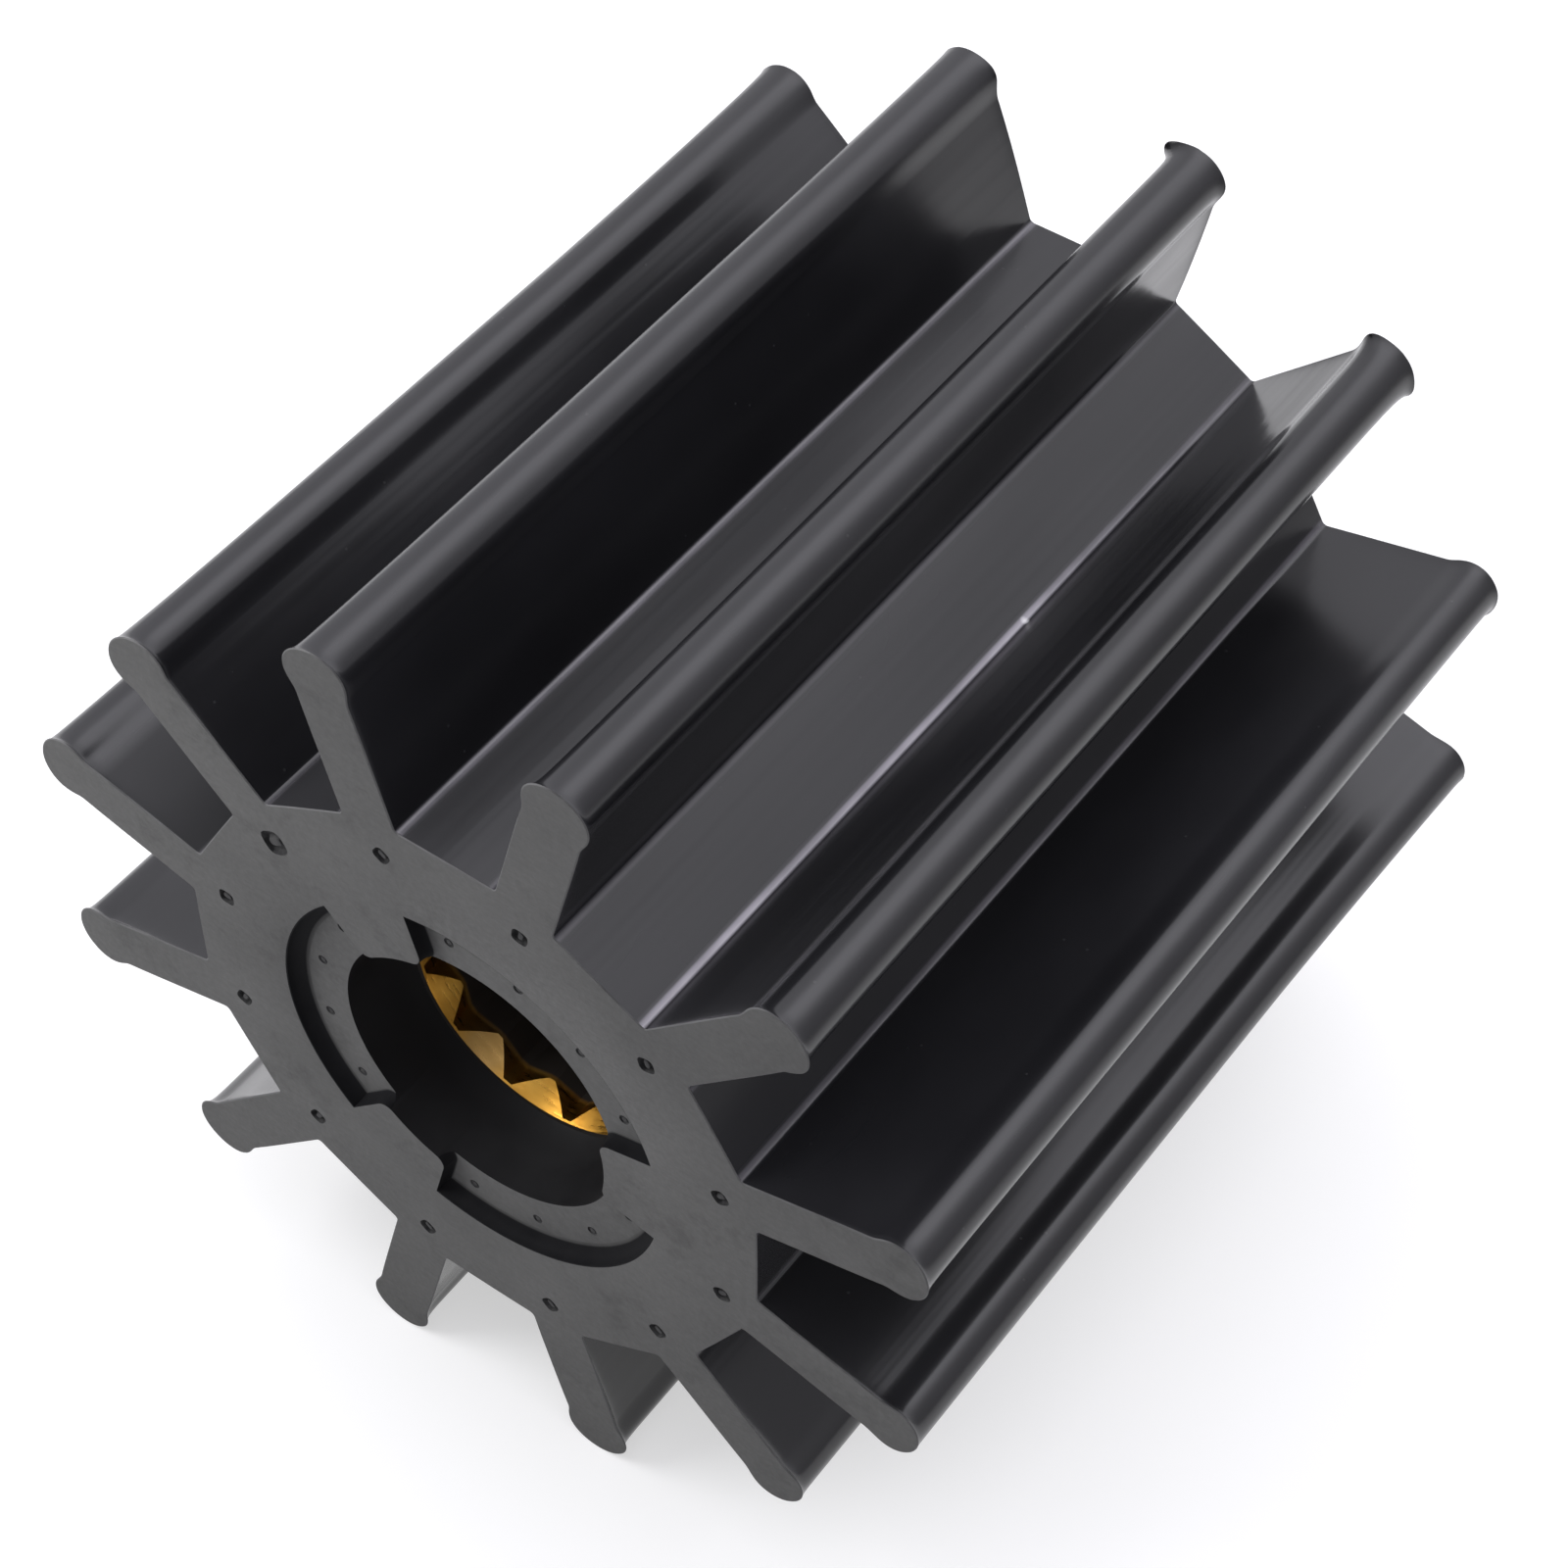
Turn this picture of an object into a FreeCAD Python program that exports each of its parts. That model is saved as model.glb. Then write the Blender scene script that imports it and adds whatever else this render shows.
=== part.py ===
import FreeCAD, Part
import Sketcher
import math
import os

# Rubber pump impeller: one moulded rubber hub with twelve straight blades,
# and the brass insert with an internal spline that is moulded into the hub.
# Frame: the shaft axis is Y, the face with the recess looks towards -Y, +Z is up,
# and the origin is on the axis at mid-length. The impeller lies on two blade tips.

doc = FreeCAD.newDocument("rubber_pump_impeller")

# Driving dimensions, in millimetres and degrees
driving_dimensions = [
    ("impeller_length", 90.0, "length over the two end faces"),
    ("tip_diameter", 95.0, "diameter over the blade tips"),
    ("hub_diameter", 60.4, "outside of the rubber hub between the blades"),
    ("blade_count", 12, "number of blades"),
    ("first_blade_angle", 15.0, "turn of the blade set about the axis"),
    ("blade_root_thickness", 5.8, "blade thickness where the root fillets end"),
    ("blade_neck_thickness", 5.2, "blade thickness at the neck, where the flanks end"),
    ("neck_depth", 4.1, "depth of the neck below the blade tip"),
    ("slope_height", 1.1, "height of the slope from the neck up to the bead"),
    ("bead_diameter", 6.1, "round bead that seals on the pump housing"),
    ("root_fillet_radius", 0.5, "tight fillet between a blade and the hub"),
    ("recess_diameter", 40.0, "outside of the three shallow recesses in the face"),
    ("recess_depth", 1.4, "depth of the recesses"),
    ("recess_count", 3, "number of recesses, with a tab between each two"),
    ("recess_angle", 90.0, "width of one recess about the axis"),
    ("first_recess_angle", 60.0, "turn of the recesses about the axis"),
    ("tab_corner_radius", 1.2, "rounded inner corners of the tabs"),
    ("mouth_diameter", 28.6, "bore of the rubber at each end"),
    ("mouth_straight", 6.6, "straight depth of that bore"),
    ("mouth_throat_diameter", 26.8, "rubber opening where it meets the insert"),
    ("front_insert_depth", 8.9, "end of the insert below the recessed face"),
    ("rear_insert_depth", 8.9, "end of the insert below the plain face"),
    ("gate_mark_diameter", 1.6, "moulding mark at the root of each blade"),
    ("gate_mark_depth", 0.5, "depth of a moulding mark"),
    ("gate_mark_circle", 54.0, "pitch circle of the moulding marks"),
    ("insert_diameter", 33.0, "outside of the brass insert"),
    ("flute_count", 6, "flutes along the insert that lock it against turning"),
    ("flute_radius", 1.6, "radius of a flute"),
    ("anchor_groove_width", 5.0, "ring groove that locks the insert lengthways"),
    ("anchor_groove_depth", 1.2, "depth of a ring groove"),
    ("anchor_groove_spacing", 36.0, "distance between the two ring grooves"),
    ("spline_count", 12, "number of spline teeth"),
    ("spline_root_diameter", 25.5, "spline diameter over the spaces"),
    ("spline_crest_diameter", 23.2, "spline diameter over the tooth tips"),
    ("spline_root_width", 0.9, "width of a space at its floor"),
    ("spline_crest_width", 0.6, "width of a tooth at its tip"),
    ("spline_turn", 11.8, "turn of the first tooth space about the axis"),
    ("lead_in_diameter", 25.7, "lead-in cone at each end of the spline"),
    ("lead_in_depth", 2.4, "depth of the lead-in cone"),
]

sheet = doc.addObject("Spreadsheet::Sheet", "Sizes")
size = {}
for row, (alias, value, meaning) in enumerate(driving_dimensions, start=1):
    sheet.set("A%d" % row, meaning)
    sheet.set("B%d" % row, str(value))
    sheet.setAlias("B%d" % row, alias)
    size[alias] = float(value)
doc.recompute()

FRONT = "Sizes.impeller_length / 2"
FRONT_INSERT = "Sizes.impeller_length / 2 - Sizes.front_insert_depth"
REAR_INSERT = "Sizes.impeller_length / 2 - Sizes.rear_insert_depth"
INSERT_LENGTH = "Sizes.impeller_length - Sizes.front_insert_depth - Sizes.rear_insert_depth"
ORIGIN = (-1, 1)
H_AXIS = ORIGIN[0]
START, END, CENTRE = range(1, 4)


# Small helpers for sketches and features
def new_body(name):
    return doc.addObject("PartDesign::Body", name)


def origin_feature(body, role):
    return [item for item in body.Origin.OriginFeatures if item.Role == role][0]


def new_sketch(body, name, role, offset=None, turn=None):
    """A sketch on an origin plane, moved along its normal and turned about it."""
    sketch = body.newObject("Sketcher::SketchObject", name)
    sketch.AttachmentSupport = [(origin_feature(body, role), "")]
    sketch.MapMode = "FlatFace"
    if turn:
        sketch.AttachmentOffset = FreeCAD.Placement(
            FreeCAD.Vector(0, 0, 0), FreeCAD.Rotation(FreeCAD.Vector(0, 0, 1), 1.0))
        sketch.setExpression("AttachmentOffset.Rotation.Angle", turn)
    if offset:
        sketch.setExpression("AttachmentOffset.Base.z", offset)
    return sketch


def add_line(sketch, first, last):
    start = FreeCAD.Vector(first[0], first[1], 0)
    end = FreeCAD.Vector(last[0], last[1], 0)
    return sketch.addGeometry(Part.LineSegment(start, end), False)


def add_circle(sketch, centre, radius, construction=False):
    circle = Part.Circle(FreeCAD.Vector(centre[0], centre[1], 0), FreeCAD.Vector(0, 0, 1), radius)
    return sketch.addGeometry(circle, construction)


def add_arc(sketch, centre, radius, first_angle, last_angle):
    circle = Part.Circle(FreeCAD.Vector(centre[0], centre[1], 0), FreeCAD.Vector(0, 0, 1), radius)
    arc = Part.ArcOfCircle(circle, math.radians(first_angle), math.radians(last_angle))
    return sketch.addGeometry(arc, False)


def constrain(sketch, *rule):
    return sketch.addConstraint(Sketcher.Constraint(*rule))


def drive(sketch, name, formula, *rule):
    """A constraint whose value follows the sheet."""
    index = sketch.addConstraint(Sketcher.Constraint(*rule))
    sketch.renameConstraint(index, name)
    sketch.setExpression("Constraints." + name, formula)
    return index


def centred_circle(sketch, name, formula, radius, construction=False):
    circle = add_circle(sketch, (0, 0), radius, construction)
    constrain(sketch, "Coincident", circle, CENTRE, *ORIGIN)
    drive(sketch, name, formula, "Diameter", circle, radius * 2)
    return circle


def driven_polygon(sketch, corners):
    """A closed outline; each corner is (x value, x formula, y value, y formula)."""
    count = len(corners)
    lines = []
    for index in range(count):
        here = corners[index]
        after = corners[(index + 1) % count]
        lines.append(add_line(sketch, (here[0], here[2]), (after[0], after[2])))
    for index in range(count):
        constrain(sketch, "Coincident", lines[index - 1], END, lines[index], START)
    for index, (x_value, x_formula, y_value, y_formula) in enumerate(corners):
        corner = (lines[index], START)
        drive(sketch, "x%d" % index, x_formula, "DistanceX", *ORIGIN, *corner, x_value)
        drive(sketch, "y%d" % index, y_formula, "DistanceY", *ORIGIN, *corner, y_value)


def along_axis(body, name, kind, sketch, length, symmetric=False, reversed_way=False):
    feature = body.newObject("PartDesign::" + kind, name)
    feature.Profile = sketch
    feature.SideType = "Symmetric" if symmetric else "One side"
    feature.Reversed = reversed_way
    feature.setExpression("Length", length)
    return feature


def about_axis(body, name, kind, sketch):
    feature = body.newObject("PartDesign::" + kind, name)
    feature.Profile = sketch
    feature.ReferenceAxis = (origin_feature(body, "Y_Axis"), [""])
    feature.Angle = 360
    return feature


def polar_pattern(body, name, originals, count):
    pattern = body.newObject("PartDesign::PolarPattern", name)
    pattern.Originals = originals
    pattern.Axis = (origin_feature(body, "Y_Axis"), [""])
    pattern.Angle = 360
    pattern.setExpression("Occurrences", count)
    body.Tip = pattern
    return pattern


# Sketches of the blade, the recess and the spline
def draw_blade(sketch):
    """Cross-section of the blade along +X: root fillets, tapered flanks, slopes and bead."""
    hub = size["hub_diameter"] / 2
    bead = size["bead_diameter"] / 2
    fillet = size["root_fillet_radius"]
    root_half = size["blade_root_thickness"] / 2
    neck_half = size["blade_neck_thickness"] / 2
    neck_x = size["tip_diameter"] / 2 - size["neck_depth"]
    bead_x = size["tip_diameter"] / 2 - bead
    edge_x = neck_x + size["slope_height"]
    edge_y = math.sqrt(bead ** 2 - (edge_x - bead_x) ** 2)
    root_y = root_half + fillet
    root_x = math.sqrt((hub + fillet) ** 2 - root_y ** 2)
    root_turn = math.degrees(math.atan2(root_y, root_x))
    edge_turn = math.degrees(math.atan2(edge_y, edge_x - bead_x))
    inside_x = hub - fillet
    inside_y = root_y * hub / (hub + fillet)
    touch_x = root_x * hub / (hub + fillet)

    root_up = add_arc(sketch, (root_x, root_y), fillet, 180 + root_turn, 270)
    root_low = add_arc(sketch, (root_x, -root_y), fillet, 90, 180 - root_turn)
    flank_up = add_line(sketch, (root_x, root_half), (neck_x, neck_half))
    flank_low = add_line(sketch, (root_x, -root_half), (neck_x, -neck_half))
    slope_up = add_line(sketch, (neck_x, neck_half), (edge_x, edge_y))
    slope_low = add_line(sketch, (neck_x, -neck_half), (edge_x, -edge_y))
    bead_arc = add_arc(sketch, (bead_x, 0), bead, -edge_turn, edge_turn)
    inside_up = add_line(sketch, (touch_x, inside_y), (inside_x, inside_y))
    inside_low = add_line(sketch, (touch_x, -inside_y), (inside_x, -inside_y))
    inside_end = add_line(sketch, (inside_x, inside_y), (inside_x, -inside_y))
    hub_circle = centred_circle(sketch, "hub", "Sizes.hub_diameter", hub, True)

    constrain(sketch, "Tangent", root_up, END, flank_up, START)
    constrain(sketch, "Coincident", flank_up, END, slope_up, START)
    constrain(sketch, "Coincident", slope_up, END, bead_arc, END)
    constrain(sketch, "Coincident", bead_arc, START, slope_low, END)
    constrain(sketch, "Coincident", slope_low, START, flank_low, END)
    constrain(sketch, "Tangent", flank_low, START, root_low, START)
    constrain(sketch, "Tangent", root_up, START, hub_circle)
    constrain(sketch, "Tangent", root_low, END, hub_circle)
    constrain(sketch, "Coincident", root_up, START, inside_up, START)
    constrain(sketch, "Coincident", root_low, END, inside_low, START)
    constrain(sketch, "Coincident", inside_up, END, inside_end, START)
    constrain(sketch, "Coincident", inside_low, END, inside_end, END)
    constrain(sketch, "Horizontal", inside_up)
    constrain(sketch, "Horizontal", inside_low)
    constrain(sketch, "Vertical", inside_end)
    constrain(sketch, "Symmetric", flank_up, START, flank_low, START, H_AXIS)
    constrain(sketch, "Symmetric", flank_up, END, flank_low, END, H_AXIS)
    constrain(sketch, "Symmetric", slope_up, END, slope_low, END, H_AXIS)
    drive(sketch, "root_fillet", "Sizes.root_fillet_radius", "Radius", root_up, fillet)
    drive(sketch, "neck_place", "Sizes.tip_diameter / 2 - Sizes.neck_depth",
          "DistanceX", *ORIGIN, flank_up, END, neck_x)
    drive(sketch, "slope", "Sizes.slope_height", "DistanceX", slope_up, START, slope_up, END, edge_x - neck_x)
    drive(sketch, "bead", "Sizes.bead_diameter / 2", "Radius", bead_arc, bead)
    drive(sketch, "bead_place", "(Sizes.tip_diameter - Sizes.bead_diameter) / 2",
          "DistanceX", *ORIGIN, bead_arc, CENTRE, bead_x)
    drive(sketch, "root_thickness", "Sizes.blade_root_thickness",
          "DistanceY", flank_low, START, flank_up, START, root_half * 2)
    drive(sketch, "neck_thickness", "Sizes.blade_neck_thickness",
          "DistanceY", flank_low, END, flank_up, END, neck_half * 2)
    drive(sketch, "inside_place", "Sizes.hub_diameter / 2 - Sizes.root_fillet_radius",
          "DistanceX", *ORIGIN, inside_end, START, inside_x)


def draw_recess(sketch):
    """One recess along +X: a ring sector whose sides end in the tabs' rounded corners."""
    outer = size["recess_diameter"] / 2
    mouth = size["mouth_diameter"] / 2
    corner = size["tab_corner_radius"]
    half = size["recess_angle"] / 2
    lean = math.degrees(math.asin(corner / (mouth + corner)))
    side_start = math.sqrt((mouth + corner) ** 2 - corner ** 2)
    side = (math.cos(math.radians(half)), math.sin(math.radians(half)))
    middle = (math.cos(math.radians(half + lean)), math.sin(math.radians(half + lean)))
    corner_x = (mouth + corner) * middle[0]
    corner_y = (mouth + corner) * middle[1]

    rim = add_arc(sketch, (0, 0), outer, -half, half)
    side_up = add_line(sketch, (side_start * side[0], side_start * side[1]),
                       (outer * side[0], outer * side[1]))
    side_low = add_line(sketch, (side_start * side[0], -side_start * side[1]),
                        (outer * side[0], -outer * side[1]))
    corner_up = add_arc(sketch, (corner_x, corner_y), corner, half + lean - 180, half - 90)
    corner_low = add_arc(sketch, (corner_x, -corner_y), corner, 90 - half, 180 - half - lean)
    inside_up = add_line(sketch, (0, 0), (mouth * middle[0], mouth * middle[1]))
    inside_low = add_line(sketch, (0, 0), (mouth * middle[0], -mouth * middle[1]))
    mouth_circle = centred_circle(sketch, "mouth", "Sizes.mouth_diameter", mouth, True)

    constrain(sketch, "Coincident", rim, CENTRE, *ORIGIN)
    constrain(sketch, "Coincident", rim, END, side_up, END)
    constrain(sketch, "Coincident", rim, START, side_low, END)
    constrain(sketch, "Tangent", corner_up, END, side_up, START)
    constrain(sketch, "Tangent", corner_low, START, side_low, START)
    constrain(sketch, "Tangent", corner_up, START, mouth_circle)
    constrain(sketch, "Tangent", corner_low, END, mouth_circle)
    constrain(sketch, "Coincident", inside_up, END, corner_up, START)
    constrain(sketch, "Coincident", inside_low, END, corner_low, END)
    constrain(sketch, "Coincident", inside_up, START, *ORIGIN)
    constrain(sketch, "Coincident", inside_low, START, *ORIGIN)
    constrain(sketch, "PointOnObject", *ORIGIN, side_up)
    constrain(sketch, "PointOnObject", *ORIGIN, side_low)
    constrain(sketch, "Symmetric", side_up, START, side_low, START, H_AXIS)
    drive(sketch, "rim", "Sizes.recess_diameter / 2", "Radius", rim, outer)
    drive(sketch, "corner", "Sizes.tab_corner_radius", "Radius", corner_up, corner)
    drive(sketch, "half_angle", "Sizes.recess_angle / 2", "Angle", side_up, math.radians(half))


def draw_tooth_space(sketch):
    """One space of the spline along +X: straight flanks from the floor to two tooth tips."""
    root = size["spline_root_diameter"] / 2
    crest = size["spline_crest_diameter"] / 2
    floor_half = size["spline_root_width"] / 2
    half_pitch = math.pi / size["spline_count"]
    tip_turn = half_pitch - size["spline_crest_width"] / (2 * crest)
    tip_x = crest * math.cos(tip_turn)
    tip_y = crest * math.sin(tip_turn)
    pitch_formula = "180 / Sizes.spline_count"
    tip_formula = "180 / pi * Sizes.spline_crest_width / Sizes.spline_crest_diameter"
    tip_x_formula = "Sizes.spline_crest_diameter / 2 * cos(%s - %s)" % (pitch_formula, tip_formula)
    tip_y_formula = "Sizes.spline_crest_diameter / 2 * sin(%s - %s)" % (pitch_formula, tip_formula)
    inner_x_formula = "Sizes.spline_crest_diameter / 4"
    driven_polygon(sketch, [
        (crest / 2, inner_x_formula, -tip_y, "-" + tip_y_formula),
        (tip_x, tip_x_formula, -tip_y, "-" + tip_y_formula),
        (root, "Sizes.spline_root_diameter / 2", -floor_half, "-Sizes.spline_root_width / 2"),
        (root, "Sizes.spline_root_diameter / 2", floor_half, "Sizes.spline_root_width / 2"),
        (tip_x, tip_x_formula, tip_y, tip_y_formula),
        (crest / 2, inner_x_formula, tip_y, tip_y_formula),
    ])


# Rubber moulding: hub, blades, stepped mouths, recesses and moulding marks
def build_moulding():
    body = new_body("rubber_moulding")
    hub_sketch = new_sketch(body, "hub_section", "XZ_Plane")
    centred_circle(hub_sketch, "hub", "Sizes.hub_diameter", size["hub_diameter"] / 2)
    along_axis(body, "hub", "Pad", hub_sketch, "Sizes.impeller_length", symmetric=True)

    blade_sketch = new_sketch(body, "blade_section", "XZ_Plane", turn="Sizes.first_blade_angle")
    draw_blade(blade_sketch)
    blade = along_axis(body, "blade", "Pad", blade_sketch, "Sizes.impeller_length", symmetric=True)
    polar_pattern(body, "blades", [blade], "Sizes.blade_count")

    mouth_sketch = new_sketch(body, "mouth_profile", "XY_Plane")
    half = size["impeller_length"] / 2
    mouth = size["mouth_diameter"] / 2
    throat = size["mouth_throat_diameter"] / 2
    mouth_x = "Sizes.mouth_diameter / 2"
    throat_x = "Sizes.mouth_throat_diameter / 2"
    straight = size["mouth_straight"]
    front = size["front_insert_depth"]
    rear = size["rear_insert_depth"]
    driven_polygon(mouth_sketch, [
        (0, "0", -half, "-Sizes.impeller_length / 2"),
        (mouth, mouth_x, -half, "-Sizes.impeller_length / 2"),
        (mouth, mouth_x, straight - half, "Sizes.mouth_straight - " + FRONT),
        (throat, throat_x, front - half, "Sizes.front_insert_depth - " + FRONT),
        (throat, throat_x, half - rear, REAR_INSERT),
        (mouth, mouth_x, half - straight, FRONT + " - Sizes.mouth_straight"),
        (mouth, mouth_x, half, FRONT),
        (0, "0", half, FRONT),
    ])
    about_axis(body, "mouths", "Groove", mouth_sketch)

    recess_sketch = new_sketch(body, "recess_section", "XZ_Plane", FRONT, "Sizes.first_recess_angle")
    draw_recess(recess_sketch)
    recess = along_axis(body, "recess", "Pocket", recess_sketch, "Sizes.recess_depth")
    polar_pattern(body, "recesses", [recess], "Sizes.recess_count")

    mark_sketch = new_sketch(body, "gate_mark_section", "XZ_Plane", FRONT, "Sizes.first_blade_angle")
    mark_radius = size["gate_mark_diameter"] / 2
    mark = add_circle(mark_sketch, (size["gate_mark_circle"] / 2, 0), mark_radius)
    constrain(mark_sketch, "PointOnObject", mark, CENTRE, H_AXIS)
    drive(mark_sketch, "mark", "Sizes.gate_mark_diameter", "Diameter", mark, mark_radius * 2)
    drive(mark_sketch, "circle", "Sizes.gate_mark_circle / 2",
          "DistanceX", *ORIGIN, mark, CENTRE, size["gate_mark_circle"] / 2)
    gate_mark = along_axis(body, "gate_mark", "Pocket", mark_sketch, "Sizes.gate_mark_depth")
    polar_pattern(body, "gate_marks", [gate_mark], "Sizes.blade_count")
    return body


# Insert blank: the outside of the brass, which the rubber is moulded round
def build_blank():
    body = new_body("insert_blank")
    outside = new_sketch(body, "insert_section", "XZ_Plane", FRONT_INSERT)
    radius = size["insert_diameter"] / 2
    centred_circle(outside, "outside", "Sizes.insert_diameter", radius)
    along_axis(body, "cylinder", "Pad", outside, INSERT_LENGTH, reversed_way=True)

    flute_sketch = new_sketch(body, "flute_section", "XZ_Plane", FRONT_INSERT)
    flute_circle = add_circle(flute_sketch, (radius, 0), size["flute_radius"])
    constrain(flute_sketch, "PointOnObject", flute_circle, CENTRE, H_AXIS)
    drive(flute_sketch, "flute", "Sizes.flute_radius", "Radius", flute_circle, size["flute_radius"])
    drive(flute_sketch, "place", "Sizes.insert_diameter / 2",
          "DistanceX", *ORIGIN, flute_circle, CENTRE, radius)
    flute = along_axis(body, "flute", "Pocket", flute_sketch, INSERT_LENGTH)
    polar_pattern(body, "flutes", [flute], "Sizes.flute_count")

    middle = (size["front_insert_depth"] - size["rear_insert_depth"]) / 2
    middle_formula = "(Sizes.front_insert_depth - Sizes.rear_insert_depth) / 2"
    floor = radius - size["anchor_groove_depth"]
    floor_formula = "Sizes.insert_diameter / 2 - Sizes.anchor_groove_depth"
    clear = radius + size["anchor_groove_depth"]
    clear_formula = "Sizes.insert_diameter / 2 + Sizes.anchor_groove_depth"
    half_width = size["anchor_groove_width"] / 2
    for name, side in (("front_anchor", -1), ("rear_anchor", 1)):
        sketch = new_sketch(body, name + "_profile", "XY_Plane")
        place = middle + side * size["anchor_groove_spacing"] / 2
        place_formula = "%s + %d * Sizes.anchor_groove_spacing / 2" % (middle_formula, side)
        low = (place - half_width, place_formula + " - Sizes.anchor_groove_width / 2")
        high = (place + half_width, place_formula + " + Sizes.anchor_groove_width / 2")
        driven_polygon(sketch, [
            (floor, floor_formula) + low,
            (clear, clear_formula) + low,
            (clear, clear_formula) + high,
            (floor, floor_formula) + high,
        ])
        about_axis(body, name + "_groove", "Groove", sketch)
    return body


# Spline core: the space inside the insert, with the teeth left out and a cone at each end
def build_core():
    body = new_body("spline_core")
    bore = new_sketch(body, "crest_section", "XZ_Plane", FRONT_INSERT)
    centred_circle(bore, "crest", "Sizes.spline_crest_diameter", size["spline_crest_diameter"] / 2)
    along_axis(body, "crest_bore", "Pad", bore, INSERT_LENGTH, reversed_way=True)

    space_sketch = new_sketch(body, "space_section", "XZ_Plane", FRONT_INSERT, "Sizes.spline_turn")
    draw_tooth_space(space_sketch)
    space = along_axis(body, "space", "Pad", space_sketch, INSERT_LENGTH, reversed_way=True)
    polar_pattern(body, "spaces", [space], "Sizes.spline_count")

    wide = size["lead_in_diameter"] / 2
    narrow = size["spline_crest_diameter"] / 2
    wide_x = "Sizes.lead_in_diameter / 2"
    narrow_x = "Sizes.spline_crest_diameter / 2"
    front_y = size["front_insert_depth"] - size["impeller_length"] / 2
    rear_y = size["impeller_length"] / 2 - size["rear_insert_depth"]
    depth = size["lead_in_depth"]
    ends = [("front_lead_in", front_y, "Sizes.front_insert_depth - " + FRONT, 1),
            ("rear_lead_in", rear_y, REAR_INSERT, -1)]
    for name, place, formula, inward in ends:
        sketch = new_sketch(body, name + "_profile", "XY_Plane")
        deep_formula = "%s + %d * Sizes.lead_in_depth" % (formula, inward)
        driven_polygon(sketch, [
            (0, "0", place, formula),
            (wide, wide_x, place, formula),
            (narrow, narrow_x, place + inward * depth, deep_formula),
            (0, "0", place + inward * depth, deep_formula),
        ])
        about_axis(body, name, "Revolution", sketch)
    return body


moulding = build_moulding()
blank = build_blank()
core = build_core()
doc.recompute()

insert = doc.addObject("Part::Cut", "splined_brass_insert")
insert.Base = blank
insert.Tool = core

impeller = doc.addObject("Part::Cut", "rubber_impeller")
impeller.Base = moulding
impeller.Tool = blank
doc.recompute()

for item in doc.Objects:
    if "Invalid" in item.State or "Error" in item.State:
        raise RuntimeError("%s failed: %s" % (item.Name, item.State))

os.makedirs("parts", exist_ok=True)
for node in (impeller, insert):
    shape = node.Shape
    if shape.isNull() or not shape.isValid() or len(shape.Solids) != 1:
        raise RuntimeError("%s has no single valid solid" % node.Label)
    box = shape.BoundBox
    print("%s volume %.1f mm3, box %.2f x %.2f x %.2f mm"
          % (node.Label, shape.Volume, box.XLength, box.YLength, box.ZLength))

for node in (impeller, insert):
    node.Shape.exportStep("parts/%s.step" % node.Label)
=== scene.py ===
# %% [markdown]
# # A rubber pump impeller, dressed for its portrait
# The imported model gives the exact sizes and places: a rubber moulding with twelve blades and
# a splined brass insert deep in its bore. This lesson adds what the eye looks for: blade ends
# that flare where the moulding was trimmed, marks of the mould, glossy skin, ground faces and
# machined brass. Lengths are in metres and the shaft axis is Y.

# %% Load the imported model
import math

import bmesh
import bpy
import numpy as np
from mathutils import Matrix, Vector
from mathutils.geometry import delaunay_2d_cdt


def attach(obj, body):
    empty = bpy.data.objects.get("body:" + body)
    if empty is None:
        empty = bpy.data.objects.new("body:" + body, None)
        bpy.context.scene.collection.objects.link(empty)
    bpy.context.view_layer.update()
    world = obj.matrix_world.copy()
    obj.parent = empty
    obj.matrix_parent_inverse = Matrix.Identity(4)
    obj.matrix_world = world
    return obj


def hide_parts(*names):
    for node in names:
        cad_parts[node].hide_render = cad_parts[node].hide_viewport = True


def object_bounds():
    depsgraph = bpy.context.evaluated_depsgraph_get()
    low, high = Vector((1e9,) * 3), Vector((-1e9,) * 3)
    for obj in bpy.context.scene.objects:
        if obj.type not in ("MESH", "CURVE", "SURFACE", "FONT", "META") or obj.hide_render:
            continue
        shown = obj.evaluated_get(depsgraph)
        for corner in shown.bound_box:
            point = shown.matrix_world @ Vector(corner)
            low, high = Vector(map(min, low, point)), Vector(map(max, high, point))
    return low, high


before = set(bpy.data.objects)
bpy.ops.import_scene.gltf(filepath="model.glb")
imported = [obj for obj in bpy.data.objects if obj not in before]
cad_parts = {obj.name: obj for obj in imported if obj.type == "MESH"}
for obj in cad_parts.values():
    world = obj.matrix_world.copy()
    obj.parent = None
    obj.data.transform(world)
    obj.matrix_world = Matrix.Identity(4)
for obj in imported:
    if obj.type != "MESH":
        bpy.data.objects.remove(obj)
CAD_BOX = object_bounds()
print("nodes", sorted(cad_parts), "box", CAD_BOX)

# %% [markdown]
# The section of the moulding is one closed curve: a hub that is nearly flat between the blades,
# tight root fillets, slightly tapered flanks that swell softly, and a round bead at each tip.
# All sizes are millimetres on the real part, so they are written that way here and turned into
# metres once, when a mesh is made.

# %% Sizes of the moulding, in millimetres
MM = 0.001
BLADES = 12
FIRST_BLADE = math.radians(15)
LENGTH = (CAD_BOX[1][1] - CAD_BOX[0][1]) / MM
HALF = LENGTH / 2
HUB = 30.2
HUB_FLAT = 0.9
ROOT_HALF = 2.9
NECK = 43.4
NECK_HALF = 2.36
NECK_BLEND = 0.7
BEAD_CENTRE = 44.95
BEAD_HALF = 2.62
TIP = 47.5
FILLET = 0.5
print("length %.2f mm" % LENGTH)

# %% [markdown]
# Half of one blade's outline runs from the tip to the middle of the gap beside it. Every
# stretch is a formula: a quarter ellipse for the cap, a straight flank with a smooth step up to
# the bead, an arc for the fillet and a share of circle and chord for the hub. Mirroring it and
# turning it twelve times gives the whole loop with no list of points.


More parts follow.
